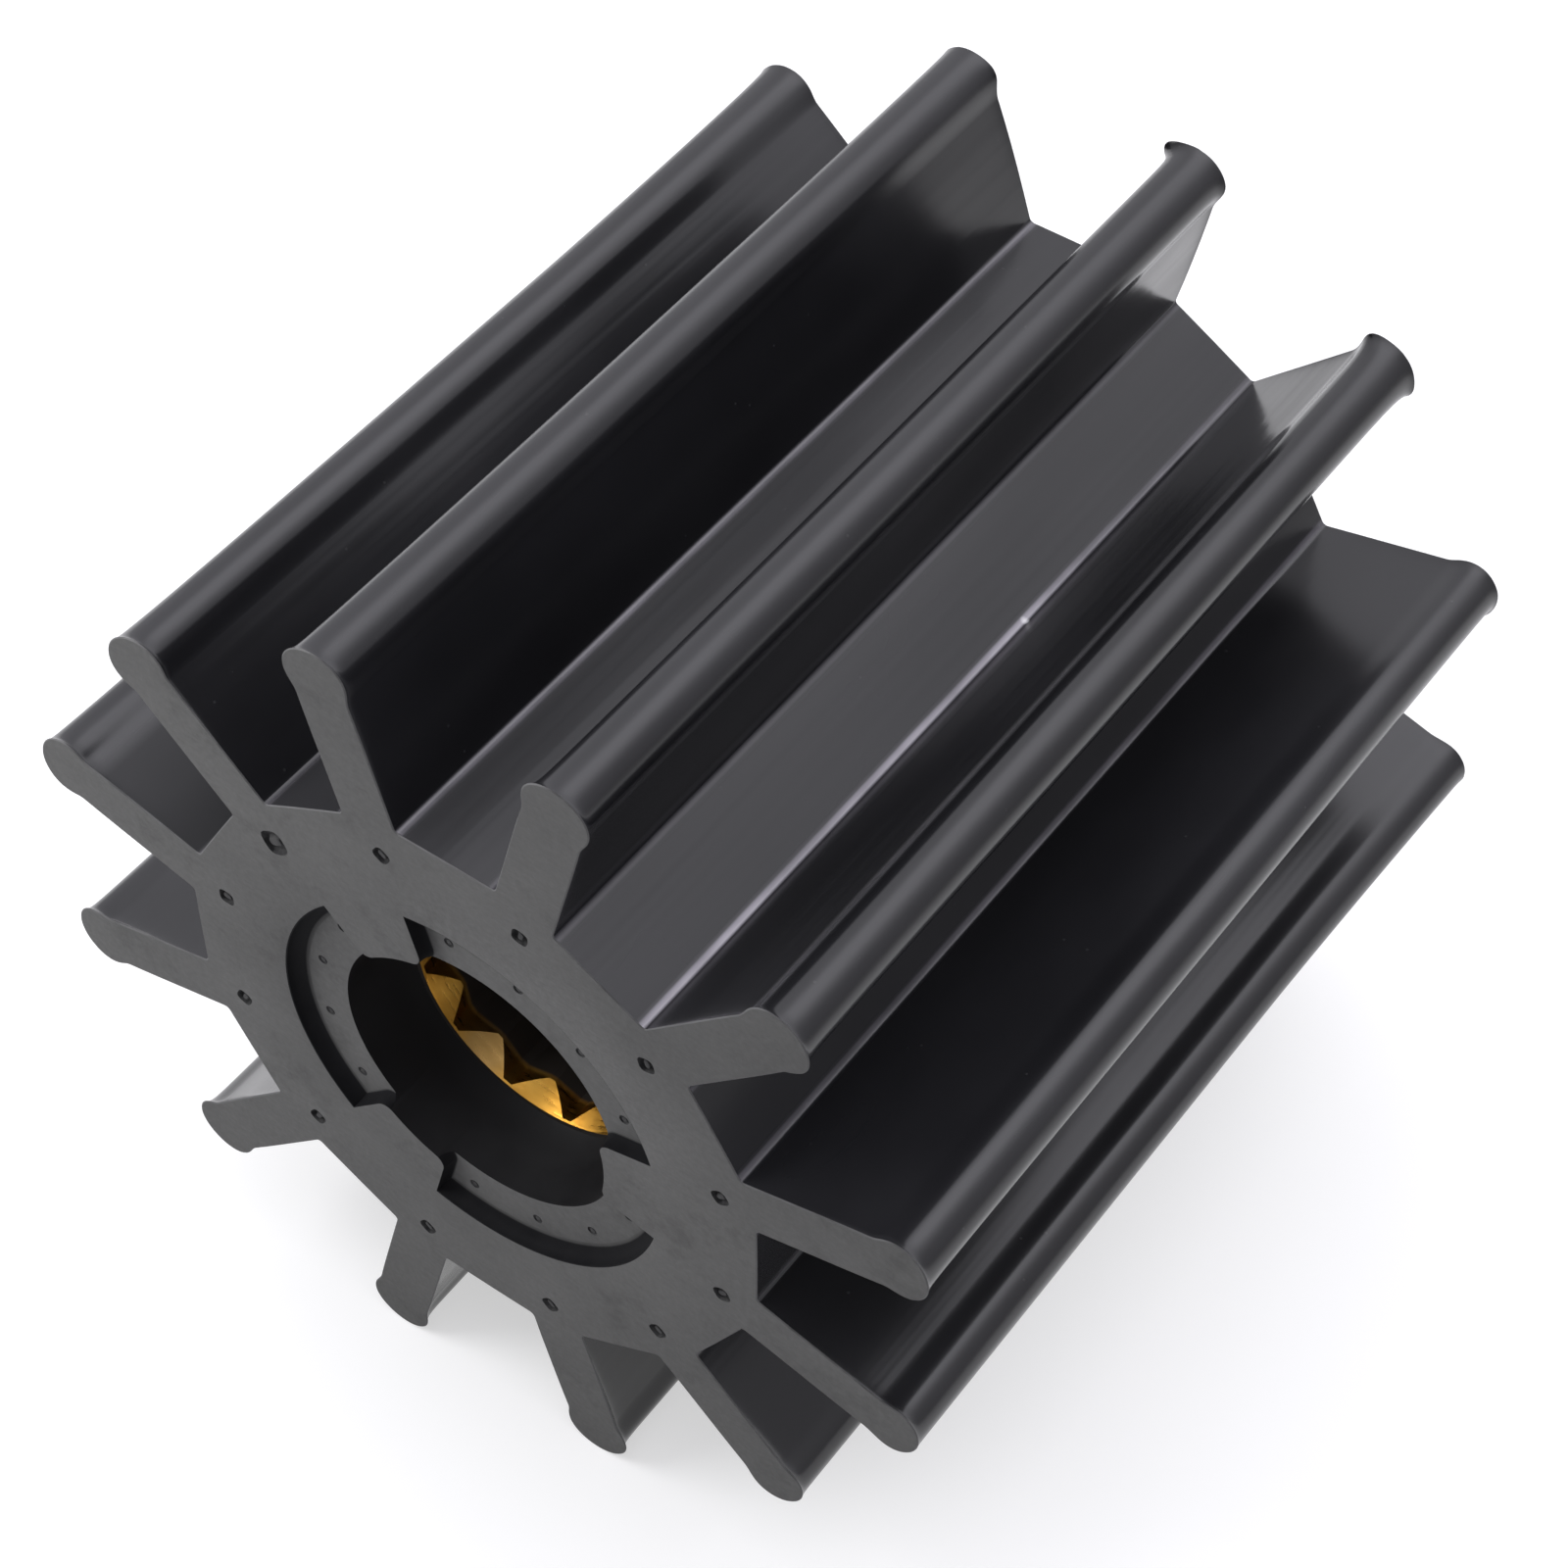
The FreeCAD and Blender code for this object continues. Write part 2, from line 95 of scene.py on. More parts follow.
# %% The outline of the section
def smooth_step(x):
    """0 below 0, 1 above 1, and 3x squared less 2x cubed between."""
    x = np.clip(x, 0.0, 1.0)
    return x * x * (3 - 2 * x)


def flank_half(radius):
    """Half thickness of the blade: a straight taper to the neck, then a smooth step to the bead."""
    line = ROOT_HALF + (NECK_HALF - ROOT_HALF) * (radius - HUB) / (NECK - HUB)
    swell = smooth_step((radius - NECK + NECK_BLEND) / (BEAD_CENTRE - NECK + NECK_BLEND))
    return line + (BEAD_HALF - line) * swell


def half_outline():
    """Points (along, across) from the blade's tip to the middle of the gap, and for each of them
    how far it lies in the root fillet: 1 in its middle, 0 on flank and hub."""
    turn = np.linspace(0, math.pi / 2, 17)
    cap = np.stack([BEAD_CENTRE + (TIP - BEAD_CENTRE) * np.cos(turn), BEAD_HALF * np.sin(turn)], 1)
    centre_y = ROOT_HALF + FILLET
    centre_x = math.sqrt((HUB + FILLET) ** 2 - centre_y ** 2)
    radius = np.concatenate([np.linspace(BEAD_CENTRE, NECK - NECK_BLEND, 12)[1:],
                             np.linspace(NECK - 2.5, centre_x + 0.15, 5), [centre_x]])
    flank = np.stack([radius, flank_half(radius)], 1)
    hub_turn = math.atan2(centre_y, centre_x)
    bend = np.linspace(-math.pi / 2, -math.pi + hub_turn, 7)[1:]
    root_y = flank_half(centre_x) + FILLET
    fillet = np.stack([centre_x + FILLET * np.cos(bend), root_y + FILLET * np.sin(bend)], 1)
    first = math.atan2(fillet[-1, 1], fillet[-1, 0])
    arc = np.concatenate([first + np.array([0.12, 0.3]) / HUB,
                          np.linspace(first, math.pi / BLADES, 9)[1:]])
    middle = math.pi / BLADES
    chord = math.cos(middle - first) / np.cos(middle - arc)
    hub = (HUB * (1 + HUB_FLAT * (chord - 1)))[:, None] * np.stack([np.cos(arc), np.sin(arc)], 1)
    root = np.concatenate([np.zeros(len(cap) + len(flank)), [0.0, 0.15, 0.7, 1.0, 1.0, 1.0],
                           [0.8, 0.12], np.zeros(len(hub) - 2)])
    return np.concatenate([cap, flank, fillet, hub]), root


def turned(points, angles):
    """Each set of points turned about the shaft axis by each angle, joined end to end."""
    cos, sin = np.cos(angles)[:, None], np.sin(angles)[:, None]
    x = points[None, :, 0] * cos - points[None, :, 1] * sin
    y = points[None, :, 0] * sin + points[None, :, 1] * cos
    return np.stack([x.ravel(), y.ravel()], 1)


def outward(loop):
    """Unit normals of a closed loop that runs counter-clockwise, from its neighbours."""
    along = np.roll(loop, -1, 0) - np.roll(loop, 1, 0)
    normal = np.stack([along[:, 1], -along[:, 0]], 1)
    return normal / np.linalg.norm(normal, axis=1, keepdims=True)


half, half_root = half_outline()
mirrored = half[:0:-1] * [1, -1]
sector = np.concatenate([mirrored[1:], half])
IN_ROOT = np.tile(np.concatenate([half_root[:0:-1][1:], half_root]), BLADES)
blade_angles = FIRST_BLADE + np.arange(BLADES) * 2 * math.pi / BLADES
OUTLINE = turned(sector, blade_angles)
NORMALS = outward(OUTLINE)
BLADE_OF = np.arange(len(OUTLINE)) // len(sector)
LEFT_SIDE = np.tile(np.arange(len(sector)) > len(sector) // 2, BLADES)
print("outline of", len(OUTLINE), "points, widest radius %.2f mm" % np.hypot(*OUTLINE.T).max())

# %% [markdown]
# Rubber isn't steel. Grinding the near face pressed the beads flat, so they flare sideways over
# the last millimetre. The cut edge springs out in a thin lip that curls into a small hook at
# the side of some beads. Some blades swell a little towards their ends, some lean at the far
# end because they were stored against something, and one was cut a little long. Each of these
# is a fade along the blade times an amount for each blade, so the skin stays one grid of
# outline points by stations, which crowd together near the ends.

# %% How each blade's rubber has set
LIP = {-1: np.array([.12, .12, .12, .12, .15, .12, .12, .12, .12, .30, .05, .05]),
       1: np.array([.10, .10, .10, .00, .08, .10, .10, .10, .05, .05, .05, .05])}
HOOK_LEFT = np.array([.00, .60, .80, .00, .40, .30, .20, .10, .10, .10, .00, .00])
HOOK_RIGHT = np.array([.35, .35, .15, .30, .00, .00, .10, .20, .10, .00, .10, .35])
SWELL = np.array([.05, .05, .05, .08, .20, .15, .10, .05, .00, .00, .00, .00])
LEAN = np.array([.10, .20, .50, 1.1, 1.6, .80, .20, .00, .00, .00, .00, .00])
PULL = np.array([.00, .00, -.2, .00, .40, .00, .00, .00, .00, .00, .10, .60])
LIP_REACH = {-1: 0.28, 1: 0.5}
FLARE = {-1: 0.165, 1: 0.05}
FLARE_REACH = 0.6
HOOK_REACH = np.array([.50, 1.5, .50, .70, .50, .50, .50, .50, .50, .50, .50, .50])
HOOK_PLACE = 45.7
HOOK_WIDTH = 1.1
PULL_START = 10.0
PULL_POWER = 1.6
SWELL_REACH = 5.0
CUT_LONG = np.array([.00, .00, .00, .00, .80, .00, .00, .00, .00, .00, .00, .00])
CUT_START = 30.0
BURR = {-1: 0.10, 1: 0.18}


def section_at(level, inset=0.0):
    """The outline at one place along the shaft: lips, hooks and swells fade with the depth below
    the end, the lean and the pull grow with the square of the height above the hub."""
    end = 1 if level > 0 else -1
    depth = max(HALF - BURR[end] - abs(level), 0.0)
    radius = np.hypot(*OUTLINE.T)
    height = np.clip((radius - HUB) / (TIP - HUB), 0.0, 1.0)
    bead = smooth_step((radius - NECK + 0.6) / 1.6)
    lip = LIP[end][BLADE_OF] * (0.45 + 0.55 * bead) * smooth_step(height * 5)
    hook = np.where(LEFT_SIDE, HOOK_LEFT[BLADE_OF], HOOK_RIGHT[BLADE_OF]) * (level > 0)
    hook = hook * np.exp(-((radius - HOOK_PLACE) / HOOK_WIDTH) ** 2)
    hook = hook * np.exp(-depth / HOOK_REACH[BLADE_OF])
    swell = SWELL[BLADE_OF] * bead * math.exp(-depth / SWELL_REACH)
    grown = lip * math.exp(-depth / LIP_REACH[end]) + hook + swell
    loop = OUTLINE + NORMALS * (grown - inset)[:, None]
    turn = blade_angles[BLADE_OF]
    side = np.stack([-np.sin(turn), np.cos(turn)], 1)
    out = np.stack([np.cos(turn), np.sin(turn)], 1)
    far = ((level + HALF) / LENGTH) ** 2
    late = max((level - PULL_START) / (HALF - PULL_START), 0.0) ** PULL_POWER
    flare = FLARE[end] * math.exp(-depth / FLARE_REACH) * smooth_step(height * 1.2)
    return loop + side * ((OUTLINE * side).sum(1) * flare)[:, None] + (height ** 2)[:, None] * (
        side * (LEAN[BLADE_OF] * far)[:, None] + out * (PULL[BLADE_OF] * late)[:, None])


def at_level(loop, level):
    """A loop of the section as points in space, with one place or one place each along the shaft.
    A blade that was cut long reaches on past the far end, most at its tip."""
    level = np.broadcast_to(level, len(loop))
    turn = np.arctan2(loop[:, 1], loop[:, 0]) - FIRST_BLADE
    blade = np.round(turn / (2 * math.pi / BLADES)).astype(int)
    height = np.clip((np.hypot(*loop.T) - HUB) / (TIP - HUB), 0.0, 1.0)
    late = np.clip((level - CUT_START) / (HALF - CUT_START), 0.0, 1.0)
    extra = CUT_LONG[blade % BLADES] * height ** 2 * late ** 2
    return np.stack([loop[:, 0], level + extra, loop[:, 1]], 1)


def grid_faces(rows, columns, closed=True):
    """Quads between each two rows of a grid; a closed grid joins its last column to its first."""
    last = columns if closed else columns - 1
    i, j = np.meshgrid(np.arange(rows - 1), np.arange(last), indexing="ij")
    k = (j + 1) % columns
    above, below = i * columns, (i + 1) * columns
    return np.stack([above + j, above + k, below + k, below + j], -1).reshape(-1, 4)


near = np.array([0.0, 0.1, 0.2, 0.34, 0.55, 0.85, 1.4, 2.4, 4.0, 7.0, 12.0, 17.0, 22.0, 27.0,
                 32.0, 37.0])
stations = np.concatenate([BURR[-1] + near - HALF, [-4.0, 0.0, 4.0], (HALF - BURR[1] - near)[::-1]])
skin_points = np.concatenate([at_level(section_at(level), level) for level in stations])
skin_faces = grid_faces(len(stations), len(OUTLINE))
END_LOOPS = {end: section_at(end * HALF, BURR[end]) for end in (-1, 1)}
print("skin of", len(skin_faces), "quads")

# %% [markdown]
# In the tight corner at a blade's root a pale, shiny line is painted into the colour: a painted
# highlight. The photograph shows it strongest under the second blade from the right, on the near
# two thirds, and fainter at the others. One flank, the upper one of a blade at the left,
# is dusty and dull where its neighbours shine. Each point of the skin gets its amount: the
# place in the fillet times the amount for that blade's side times a fade along the shaft.

# %% The painted highlight in the roots
ROOT_HIGHLIGHT_LEFT = np.array([.22, .72, .10, .15, .20, .25, .20, .15, .30, .15, .20, .10])
ROOT_HIGHLIGHT_RIGHT = np.array([.15, .20, .12, .26, .10, .20, .25, .15, .20, .30, .15, .20])
ROOT_HIGHLIGHT_END = 9.0
ROOT_HIGHLIGHT_FADE = 14.0


def root_highlight(level):
    """Amount of painted highlight at each outline point, at one place along the shaft."""
    share = np.where(LEFT_SIDE, ROOT_HIGHLIGHT_LEFT[BLADE_OF], ROOT_HIGHLIGHT_RIGHT[BLADE_OF])
    fade = 1 - 0.65 * smooth_step(np.array((level - ROOT_HIGHLIGHT_END) / ROOT_HIGHLIGHT_FADE)) * (share > 0.5)
    return IN_ROOT * share * fade


skin_root_highlight = np.concatenate([root_highlight(level) for level in stations])
DULL_BLADE = 5
below_bead = 1 - smooth_step((np.hypot(*OUTLINE.T) - NECK + 1.4) / 1.2)
dull_flank = (BLADE_OF == DULL_BLADE) * ~LEFT_SIDE * below_bead
skin_dull = np.tile(dull_flank, len(stations))
# Counts the points that carry the painted root highlight.
print("film on", int((skin_root_highlight > 0.05).sum()), "points of", len(skin_root_highlight))

# %% [markdown]
# The end face is flat, but its edge is not simple: three shallow recesses open into the round
# mouth. Their edge is a narrow worn bevel and their wall runs into the floor in a broad soft
# curve. So a recess is a grid: its edge loop, drawn inwards by a quarter ellipse as it goes down.

# %% Loops of the recesses
RECESS = 20.0
RECESS_DEPTH = 1.4
MOUTH = 14.3
CORNER = 1.2
RECESSES = 3
HALF_RECESS = math.radians(45)
FIRST_RECESS = math.radians(60)
RIM_CURVE = 1.5
RIM_EDGE = (0.12, 0.05)
SIDE_SHARE = 0.35
floor_level = RECESS_DEPTH - HALF


def arc_points(centre, radius, first, last, count):
    """A stretch of a circle from one angle to another, ends included."""
    turn = np.linspace(first, last, count)
    return np.stack([centre[0] + radius * np.cos(turn), centre[1] + radius * np.sin(turn)], 1)


def recess_side(inset):
    """From the mouth round a tab's corner, out along the side and half round the rim, all moved
    inwards by an inset: the corner's radius grows by it, the rim's shrinks by it."""
    middle = HALF_RECESS + math.asin(CORNER / (MOUTH + CORNER))
    centre = ((MOUTH + CORNER) * math.cos(middle), (MOUTH + CORNER) * math.sin(middle))
    bend = CORNER + inset * SIDE_SHARE
    meet = ((MOUTH + CORNER) ** 2 + bend ** 2 - MOUTH ** 2) / (2 * (MOUTH + CORNER) * bend)
    corner = arc_points(centre, bend, middle - math.pi + math.acos(min(meet, 1.0)),
                        HALF_RECESS - math.pi / 2, 8)
    rim = RECESS - inset
    last = HALF_RECESS - math.asin(inset * SIDE_SHARE / rim)
    return np.concatenate([corner, arc_points((0, 0), rim, last, 0, 18)])


def recess_loop(inset):
    """The whole edge of a recess, counter-clockwise from its lower tab to its upper tab."""
    one_side = recess_side(inset)
    return np.concatenate([one_side, one_side[-2::-1] * [1, -1]])[::-1]


sweep = np.linspace(0, math.pi / 2, 9)
recess_insets = np.append(0.0, RIM_EDGE[0] + (RIM_CURVE - RIM_EDGE[0]) * (1 - np.cos(sweep)))
recess_levels = np.append(0.0, RIM_EDGE[1] + (RECESS_DEPTH - RIM_EDGE[1]) * np.sin(sweep)) - HALF
recess_loops = [recess_loop(inset) for inset in recess_insets]
recess_angles = FIRST_RECESS + np.arange(RECESSES) * 2 * math.pi / RECESSES
wall_ends = np.array([math.atan2(loop[-1, 1], loop[-1, 0]) for loop in recess_loops])
floor_arc = arc_points((0, 0), MOUTH, -wall_ends[-1], wall_ends[-1], 31)
tab_arc = arc_points((0, 0), MOUTH, wall_ends[0], 2 * math.pi / RECESSES - wall_ends[0], 9)
face_hole = turned(np.concatenate([recess_loops[0], tab_arc[1:-1]]), recess_angles)
wall_turns = np.degrees(wall_ends[[0, -1]])
print("recess walls meet the mouth from %.1f to %.1f degrees" % tuple(wall_turns))

# %% [markdown]
# The mouth's edge rises and falls: flat on the tabs, down along the ends of the recess walls and
# flat again on the floors. The bore is a profile turned about the shaft, whose first ring is
# that wavy edge, so that it closes against walls and floors with no gap.

# %% The wavy edge of the mouth
edge_turns = np.concatenate([-wall_ends, np.arctan2(floor_arc[:, 1], floor_arc[:, 0])[1:-1],
                             wall_ends[::-1], np.arctan2(tab_arc[:, 1], tab_arc[:, 0])[1:-1]])
edge_levels = np.concatenate([recess_levels, np.full(len(floor_arc) - 2, floor_level),
                              recess_levels[::-1], np.full(len(tab_arc) - 2, -HALF)])
mouth_turns = (recess_angles[:, None] + edge_turns[None]).ravel()
mouth_levels = np.tile(edge_levels, RECESSES)
mouth_circle = np.stack([np.cos(mouth_turns), np.sin(mouth_turns)], 1)
print("mouth edge of", len(mouth_circle), "points")

# %% [markdown]
# A moulding mark is a small squarish pit with a torn nub of rubber in it that was ground off
# nearly level with the face. Each is a set of rings: down into the pit, across it, up the nub
# and over its top. The outer rings are nearly square, the inner ones are long and slanted. The
# one that the photograph shows larger, beside the upper left blade, is the same pit scaled up.
# The ejector marks in the recesses are round and shallower.

# %% Moulding marks and ejector marks
MARK_CIRCLE = 27.0
MARK_SHIFT = np.array([0.2, -0.3])
MARK_RADIUS = 0.80
MARK_SIDES = 24
LARGE_MARK = 4
LARGE_MARK_SCALE = 1.6
EJECTOR_CIRCLE = 17.1
EJECTOR_RADIUS = 0.5
mark_profile = np.array([[1.0, 0.0], [0.95, 0.3], [0.8, 0.5], [0.62, 0.5], [0.5, 0.3],
                         [0.38, 0.12], [0.0, 0.10]])
ejector_profile = np.array([[1.0, 0.0], [0.85, 0.14], [0.62, 0.14], [0.5, 0.04], [0.0, 0.02]])


def pit(centre, radius, profile, level, square=2.0, slant=0.0, stretch=1.0):
    """Rings of a profile (share of the radius, depth) about an axis parallel to the shaft. Each
    ring is a superellipse, turned by the slant; inwards it grows longer one way by the stretch."""
    turn = np.arange(MARK_SIDES) * 2 * math.pi / MARK_SIDES
    share, sink = profile[:-1, :1], profile[:-1, 1:]
    size = (np.abs(np.cos(turn)) ** square + np.abs(np.sin(turn)) ** square) ** (-1 / square)
    longer = stretch ** (1 - share)
    along = radius * share * longer * (size * np.cos(turn))[None]
    across = radius * share / longer * (size * np.sin(turn))[None]
    x = centre[0] + along * math.cos(slant) - across * math.sin(slant)
    z = centre[1] + along * math.sin(slant) + across * math.cos(slant)
    y = np.repeat(level + sink, MARK_SIDES, 1)
    rings = np.stack([x, y, z], -1).reshape(-1, 3)
    tip = np.array([[centre[0], level + profile[-1, 1], centre[1]]])
    last = (len(profile) - 2) * MARK_SIDES
    fan = np.stack([last + np.arange(MARK_SIDES), last + (np.arange(MARK_SIDES) + 1) % MARK_SIDES,
                    np.full(MARK_SIDES, len(rings))], 1)
    return np.concatenate([rings, tip]), grid_faces(len(profile) - 1, MARK_SIDES), fan


mark_centres = MARK_CIRCLE * np.stack([np.cos(blade_angles), np.sin(blade_angles)], 1) + MARK_SHIFT
mark_sizes = np.full(BLADES, MARK_RADIUS)
mark_sizes[LARGE_MARK] *= LARGE_MARK_SCALE
mark_slants = blade_angles + np.radians([20, 60, 5, 40, 75, 15, 50, 10, 65, 30, 0, 45])
marks = [pit(centre, size, mark_profile, -HALF, square=3.2, slant=slant, stretch=1.6)
         for centre, size, slant in zip(mark_centres, mark_sizes, mark_slants)]
ejector_turns = np.radians([-36, -12, 12, 36])
ejector_angles = (recess_angles[:, None] + ejector_turns[None]).ravel()
ejector_centres = EJECTOR_CIRCLE * np.stack([np.cos(ejector_angles), np.sin(ejector_angles)], 1)
ejectors = [pit(centre, EJECTOR_RADIUS, ejector_profile, floor_level) for centre in ejector_centres]
print(len(marks), "moulding marks,", len(ejectors), "ejector marks")

# %% [markdown]
# Now the flat regions are filled and everything is joined: skin, trimmed edges, end faces,
# recess walls and floors, marks and bore. Constrained triangulation fills a flat region between
# an outer loop and its holes. Points that coincide are merged, so the moulding is one closed
# surface whose normals can be made to face outwards. Each patch has a number that says which
# finish it wears.


# %% Filling flat regions
def fill_flat(outer, holes, level):
    """Triangles between an outer loop and its holes, at one place along the shaft."""
    loops = [outer] + list(holes)
    starts = np.cumsum([0] + [len(loop) for loop in loops])
    points = np.concatenate(loops)
    rings = [list(range(starts[i], starts[i + 1])) for i in range(len(loops))]
    found = delaunay_2d_cdt([Vector(p) for p in points], [], rings, 2, 1e-7)
    flat = np.array([tuple(v) for v in found[0]])
    return at_level(flat, level), found[2]


SKIN, GROUND, EDGE, BORE, WALL, TORN = range(6)
pieces = [(skin_points, skin_faces, SKIN)]
for end, kind in ((-1, EDGE), (1, BORE)):
    inner = end * (HALF - BURR[end])
    strip = np.concatenate([at_level(section_at(inner), inner), at_level(END_LOOPS[end], end * HALF)])
    pieces.append((strip, grid_faces(2, len(OUTLINE)), kind))
mark_loops = [points[:MARK_SIDES][:, [0, 2]] for points, faces, fan in marks]
pieces.append((*fill_flat(END_LOOPS[-1], [face_hole] + mark_loops, -HALF), GROUND))
pieces.append((*fill_flat(END_LOOPS[1], [mouth_circle * MOUTH], HALF), GROUND))
for number, angle in enumerate(recess_angles):
    turn = np.array([angle])
    wall = np.concatenate([at_level(turned(loop, turn), level)
                           for loop, level in zip(recess_loops, recess_levels)])
    pieces.append((wall, grid_faces(len(recess_loops), len(recess_loops[0]), False), WALL))
    inside = ejectors[number * len(ejector_turns):(number + 1) * len(ejector_turns)]
    own = [points[:MARK_SIDES][:, [0, 2]] for points, faces, fan in inside]
    rim = np.concatenate([turned(floor_arc, turn), turned(recess_loops[-1], turn)[1:-1][::-1]])
    pieces.append((*fill_flat(rim, own, floor_level), GROUND))
for points, faces, fan in marks + ejectors:
    pieces.append((points, faces, TORN))
    pieces.append((points, fan, TORN))
print(len(pieces), "patches")

# %% [markdown]
# The bore narrows a little towards the insert, steps out to the seat that grips it, and is the
# same from the other side. So it is a profile of radius and place, turned about the shaft. Its
# first ring is the wavy edge and all rings have that edge's points, so they join one to one.

# %% The bore and the seat of the insert
THROAT = 13.4
SEAT = 16.5
INSERT_END = HALF - 8.9
STRAIGHT_END = HALF - 6.6
bore_profile = [(MOUTH, mouth_levels), (MOUTH, -STRAIGHT_END), (THROAT, -INSERT_END),
                (SEAT, -INSERT_END), (SEAT, INSERT_END), (THROAT, INSERT_END),
                (MOUTH, STRAIGHT_END), (MOUTH, HALF)]
bore_points = np.concatenate([at_level(mouth_circle * radius, level) for radius, level in bore_profile])
pieces.append((bore_points, grid_faces(len(bore_profile), len(mouth_circle)), BORE))
print("bore of", len(bore_profile), "rings")

# %% [markdown]
# A finished piece is one mesh at the origin. Sharp edges are marked by angle, so the beads and
# fillets shade smoothly while the trimmed edges stay crisp.

# %% Making a mesh from patches
MERGE_DISTANCE = 2e-6
SHARP_ANGLE = math.radians(28)


def make_piece(name, patches, amounts):
    """Joins patches of (points in mm, faces, material number) into one closed mesh. The first
    patch's points carry named amounts, such as of painted highlight, all others none."""
    points, faces, kinds, start = [], [], [], 0
    for patch_points, patch_faces, kind in patches:
        points.append(np.asarray(patch_points, float))
        faces += [[int(i) + start for i in face] for face in patch_faces]
        kinds += [kind] * len(patch_faces)
        start += len(patch_points)
    mesh = bpy.data.meshes.new(name)
    mesh.from_pydata((np.concatenate(points) * MM).tolist(), [], faces)
    mesh.polygons.foreach_set("material_index", kinds)
    for label, values in amounts.items():
        whole = np.zeros(len(mesh.vertices))
        whole[:len(values)] = values
        mesh.attributes.new(label, "FLOAT", "POINT").data.foreach_set("value", whole)
    work = bmesh.new()
    work.from_mesh(mesh)
    bmesh.ops.remove_doubles(work, verts=work.verts, dist=MERGE_DISTANCE)
    loose = [vert for vert in work.verts if not vert.link_faces]
    bmesh.ops.delete(work, geom=loose, context="VERTS")
    bmesh.ops.recalc_face_normals(work, faces=work.faces)
    open_edges = sum(1 for edge in work.edges if not edge.is_manifold)
    work.to_mesh(mesh)
    work.free()
    mesh.shade_smooth()
    mesh.set_sharp_from_angle(angle=SHARP_ANGLE)
    piece = bpy.data.objects.new(name, mesh)
    bpy.context.scene.collection.objects.link(piece)
    print(name, len(mesh.polygons), "faces,", open_edges, "open edges")
    return piece


skin_amounts = {"root_highlight": skin_root_highlight, "dull_flank": skin_dull}
moulding = make_piece("beaded_blade_moulding", pieces, skin_amounts)

# %% [markdown]
# Six finishes cover the rubber: the glossy skin that the mould gave it, the dull ground end
# faces, the thin burnished edge between them, the greasy bore, the recess walls and the torn
# pits of the marks. Their noises read Object coordinates, which on a piece at the origin are
# simply metres along the three axes, so a pattern can be stretched along the shaft to look
# like flow lines. A few helpers keep the recipes short.


# %% Node helpers
def new_material(name):
    """A material with its node tree and its Principled shader."""
    material = bpy.data.materials.new(name)
    material.use_nodes = True
    tree = material.node_tree
    return material, tree, tree.nodes["Principled BSDF"]


def add_node(tree, kind, **settings):
    """A node with its inputs set by name."""
    node = tree.nodes.new(kind)
    for name, value in settings.items():
        node.inputs[name.replace("_", " ")].default_value = value
    return node


def object_place(tree):
    """The place on the piece, in metres along the three axes."""
    return tree.nodes.new("ShaderNodeTexCoord").outputs["Object"]


def noise(tree, scale, stretch=(1, 1, 1), detail=3.0, roughness=0.55):
    """Noise on Object coordinates, stretched along the axes."""
    mapping = add_node(tree, "ShaderNodeMapping", Scale=stretch)
    node = add_node(tree, "ShaderNodeTexNoise", Scale=scale, Detail=detail, Roughness=roughness)
    tree.links.new(object_place(tree), mapping.inputs["Vector"])
    tree.links.new(mapping.outputs["Vector"], node.inputs["Vector"])
    return node.outputs["Fac"]


def along_axis(tree, axis, vector=None):
    """One of the three numbers of the place, or of another vector."""
    parts = tree.nodes.new("ShaderNodeSeparateXYZ")
    tree.links.new(object_place(tree) if vector is None else vector, parts.inputs["Vector"])
    return parts.outputs[axis]


def distance_from(tree, point):
    """How far the place is from a point."""
    node = tree.nodes.new("ShaderNodeVectorMath")
    node.operation = "DISTANCE"
    tree.links.new(object_place(tree), node.inputs[0])
    node.inputs[1].default_value = point
    return node.outputs["Value"]


def distance_from_axis(tree, keep):
    """How far the place is from an axis through the origin: the length of the place after the
    number along that axis, for which keep has 0, was dropped."""
    flat = tree.nodes.new("ShaderNodeVectorMath")
    flat.operation = "MULTIPLY"
    flat.inputs[1].default_value = keep
    tree.links.new(object_place(tree), flat.inputs[0])
    length = tree.nodes.new("ShaderNodeVectorMath")
    length.operation = "LENGTH"
    tree.links.new(flat.outputs["Vector"], length.inputs[0])
    return length.outputs["Value"]


def amount(tree, name):
    """A named amount that the mesh's points carry."""
    node = tree.nodes.new("ShaderNodeAttribute")
    node.attribute_name = name
    return node.outputs["Fac"]


def combine(tree, operation, *sources):
    """Several numbers made one, two at a time: their product, or the largest of them."""
    result = sources[0]
    for source in sources[1:]:
        node = tree.nodes.new("ShaderNodeMath")
        node.operation = operation
        tree.links.new(result, node.inputs[0])
        tree.links.new(source, node.inputs[1])
        result = node.outputs["Value"]
    return result


def map_range(tree, source, low, high, first=0.3, last=0.7):
    """A number from first to last turned into one from low to high, and held outside them."""
    node = add_node(tree, "ShaderNodeMapRange", From_Min=first, From_Max=last, To_Min=low, To_Max=high)
    tree.links.new(source, node.inputs["Value"])
    return node.outputs["Result"]


def blend(tree, share, first, second):
    """One colour going over into another by a share; either may be a plain colour or a socket."""
    node = tree.nodes.new("ShaderNodeMix")
    node.data_type = "RGBA"
    for socket, value in (("Factor", share), ("A", first), ("B", second)):
        if isinstance(value, (tuple, float)):
            node.inputs[socket].default_value = value if isinstance(value, float) else (*value, 1)
        else:
            tree.links.new(value, node.inputs[socket])
    return node.outputs["Result"]


def bump(tree, source, strength, distance, below=None):
    """A bump from a height, on top of another bump if one is given."""
    node = add_node(tree, "ShaderNodeBump", Strength=strength, Distance=distance)
    tree.links.new(source, node.inputs["Height"])
    if below is not None:
        tree.links.new(below, node.inputs["Normal"])
    return node.outputs["Normal"]
